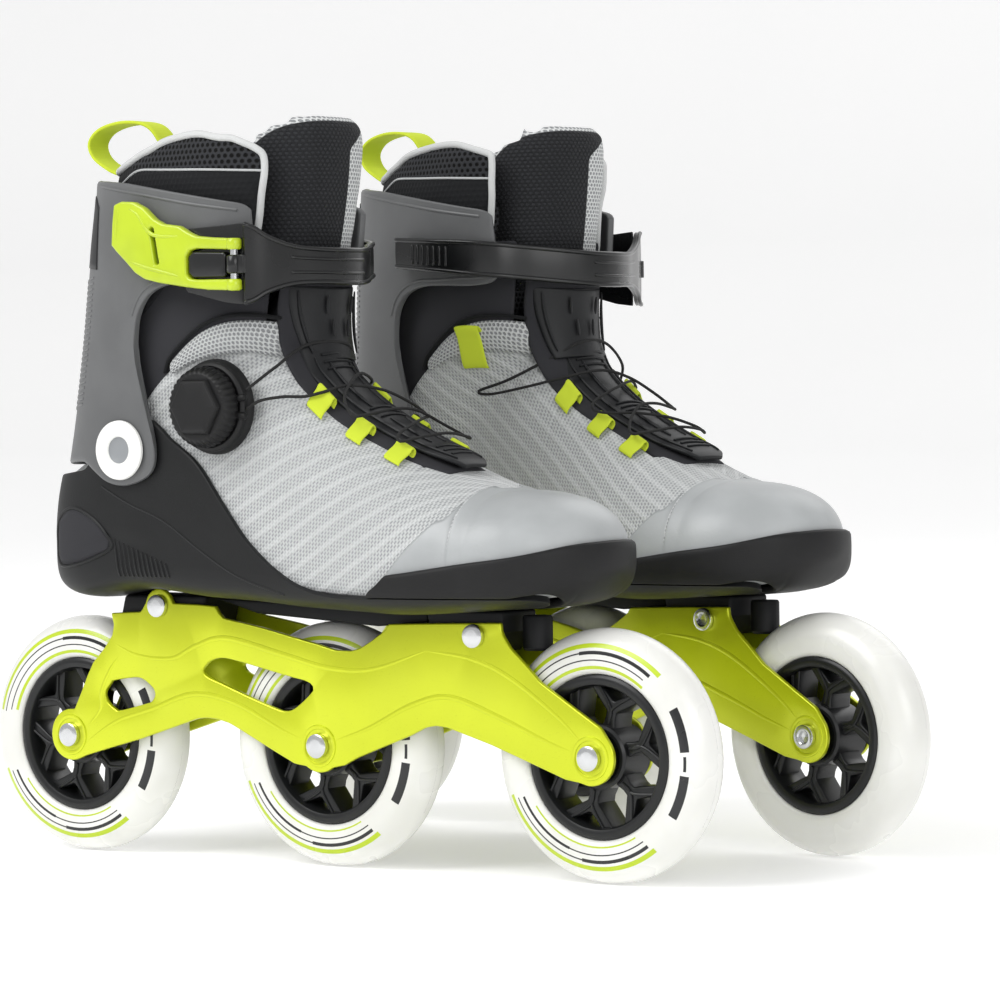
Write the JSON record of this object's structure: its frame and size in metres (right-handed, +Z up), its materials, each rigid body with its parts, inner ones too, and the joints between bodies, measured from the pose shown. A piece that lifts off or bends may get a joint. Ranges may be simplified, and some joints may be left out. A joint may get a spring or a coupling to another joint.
{
  "type": "inline skates",
  "caption": "Inline skates with knitted boots on moulded shells, hinged cuffs, lace dials, strap buckles and metal frames that hold large wheels in line.",
  "frame": {"origin": "centre of the pair's bounding box, on the ground plane under the wheels", "axes": "+X towards the toes of the right skate, +Y to the wearer's left, +Z up"},
  "size_m": [0.4308, 0.2754, 0.34],
  "materials": {
    "lime_metal": "anodised, satin",
    "steel": "polished",
    "urethane": "smooth, slightly translucent",
    "black_plastic": "satin, finely grained",
    "grey_plastic": "satin",
    "lime_plastic": "moulded, satin",
    "lime_webbing": "ribbed webbing",
    "white_plastic": "moulded",
    "black_rubber": "matt",
    "knit": "knitted, with darker stitches",
    "toe_film": "smooth film over the knit",
    "black_mesh": "spacer mesh",
    "light_mesh": "padded mesh",
    "lace_cord": "smooth cord",
    "footbed": "foam with a fabric top"
  },
  "bodies": {
    "right_chassis": {"right_frame": "lime_metal", "right_frame_bolt_rear": "steel", "right_frame_bolt_front": "steel", "right_axle_rear": "steel", "right_axle_middle": "steel", "right_axle_front": "steel", "right_shell": "black_plastic", "right_toe_rand": "black_rubber", "right_upper": "knit", "right_insole": "footbed", "right_tongue_guard": "black_plastic", "right_cuff_pivot_lateral": "white_plastic", "right_cuff_pivot_medial": "white_plastic", "right_dial_housing": "black_plastic", "right_lace": "lace_cord"},
    "right_cuff": {"right_cuff": "grey_plastic", "right_collar": "black_mesh", "right_tongue": "black_mesh", "right_pull_loop": "lime_webbing", "right_strap": "black_plastic", "right_buckle_pin": "steel"},
    "right_lever": {"right_buckle_lever": "lime_plastic"},
    "right_spool": {"right_lace_spool": "steel"},
    "right_knob": {"right_dial_knob": "black_rubber"},
    "right_wheel_rear": {"right_tyre_rear": "urethane", "right_hub_rear": "black_plastic"},
    "right_wheel_middle": {"right_tyre_middle": "urethane", "right_hub_middle": "black_plastic"},
    "right_wheel_front": {"right_tyre_front": "urethane", "right_hub_front": "black_plastic"},
    "left_chassis": {"left_frame": "lime_metal", "left_frame_bolt_rear": "steel", "left_frame_bolt_front": "steel", "left_axle_rear": "steel", "left_axle_middle": "steel", "left_axle_front": "steel", "left_shell": "black_plastic", "left_toe_rand": "black_rubber", "left_upper": "knit", "left_insole": "footbed", "left_tongue_guard": "black_plastic", "left_cuff_pivot_lateral": "white_plastic", "left_cuff_pivot_medial": "white_plastic", "left_dial_housing": "black_plastic", "left_lace": "lace_cord"},
    "left_cuff": {"left_cuff": "grey_plastic", "left_collar": "black_mesh", "left_tongue": "black_mesh", "left_pull_loop": "lime_webbing", "left_strap": "black_plastic", "left_buckle_pin": "steel"},
    "left_lever": {"left_buckle_lever": "lime_plastic"},
    "left_spool": {"left_lace_spool": "steel"},
    "left_knob": {"left_dial_knob": "black_rubber"},
    "left_wheel_rear": {"left_tyre_rear": "urethane", "left_hub_rear": "black_plastic"},
    "left_wheel_middle": {"left_tyre_middle": "urethane", "left_hub_middle": "black_plastic"},
    "left_wheel_front": {"left_tyre_front": "urethane", "left_hub_front": "black_plastic"}
  },
  "joints": [
    {"name": "right_rear_wheel_spin", "type": "hinge", "parent": "right_chassis", "child": "right_wheel_rear", "pos_m": [-0.16044, -0.08352, 0.055], "axis": [0, 1, 0], "continuous": true},
    {"name": "right_middle_wheel_spin", "type": "hinge", "parent": "right_chassis", "child": "right_wheel_middle", "pos_m": [-0.01484, -0.08352, 0.055], "axis": [0, 1, 0], "continuous": true},
    {"name": "right_front_wheel_spin", "type": "hinge", "parent": "right_chassis", "child": "right_wheel_front", "pos_m": [0.13076, -0.08352, 0.055], "axis": [0, 1, 0], "continuous": true},
    {"name": "right_cuff_flex", "type": "hinge", "parent": "right_chassis", "child": "right_cuff", "pos_m": [-0.10184, -0.08352, 0.188], "axis": [0, 1, 0], "range_deg": [0, 12], "stiffness_Nm_per_rad": 25},
    {"name": "right_lever_open", "type": "hinge", "parent": "right_cuff", "child": "right_lever", "pos_m": [-0.03084, -0.13401, 0.2697], "axis": [0, 0, 1], "range_deg": [0, 110]},
    {"name": "right_dial_turn", "type": "hinge", "parent": "right_chassis", "child": "right_spool", "pos_m": [-0.05284, -0.12201, 0.207], "axis": [0, -1, 0], "continuous": true},
    {"name": "right_dial_release", "type": "slide", "parent": "right_spool", "child": "right_knob", "axis": [0, -1, 0], "range_m": [0, 0.003]},
    {"name": "left_rear_wheel_spin", "type": "hinge", "parent": "left_chassis", "child": "left_wheel_rear", "pos_m": [-0.1264, 0.09521, 0.055], "axis": [0.1582, 0.9874, 0], "continuous": true},
    {"name": "left_middle_wheel_spin", "type": "hinge", "parent": "left_chassis", "child": "left_wheel_middle", "pos_m": [0.01736, 0.07218, 0.055], "axis": [0.1582, 0.9874, 0], "continuous": true},
    {"name": "left_front_wheel_spin", "type": "hinge", "parent": "left_chassis", "child": "left_wheel_front", "pos_m": [0.16113, 0.04916, 0.055], "axis": [0.1582, 0.9874, 0], "continuous": true},
    {"name": "left_cuff_flex", "type": "hinge", "parent": "left_chassis", "child": "left_cuff", "pos_m": [-0.06854, 0.08594, 0.188], "axis": [0.1582, 0.9874, 0], "range_deg": [0, 12], "stiffness_Nm_per_rad": 25},
    {"name": "left_lever_open", "type": "hinge", "parent": "left_cuff", "child": "left_lever", "pos_m": [0.00955, 0.12458, 0.2697], "axis": [0, 0, -1], "range_deg": [0, 110]},
    {"name": "left_dial_turn", "type": "hinge", "parent": "left_chassis", "child": "left_spool", "pos_m": [-0.01407, 0.11621, 0.207], "axis": [0.1582, 0.9874, 0], "continuous": true},
    {"name": "left_dial_release", "type": "slide", "parent": "left_spool", "child": "left_knob", "axis": [0.1582, 0.9874, 0], "range_m": [0, 0.003]},
    {"name": "left_skate_lift", "type": "slide", "parent": "right_chassis", "child": "left_chassis", "axis": [0, 0, 1], "range_m": [0, 0.36]}
  ]
}
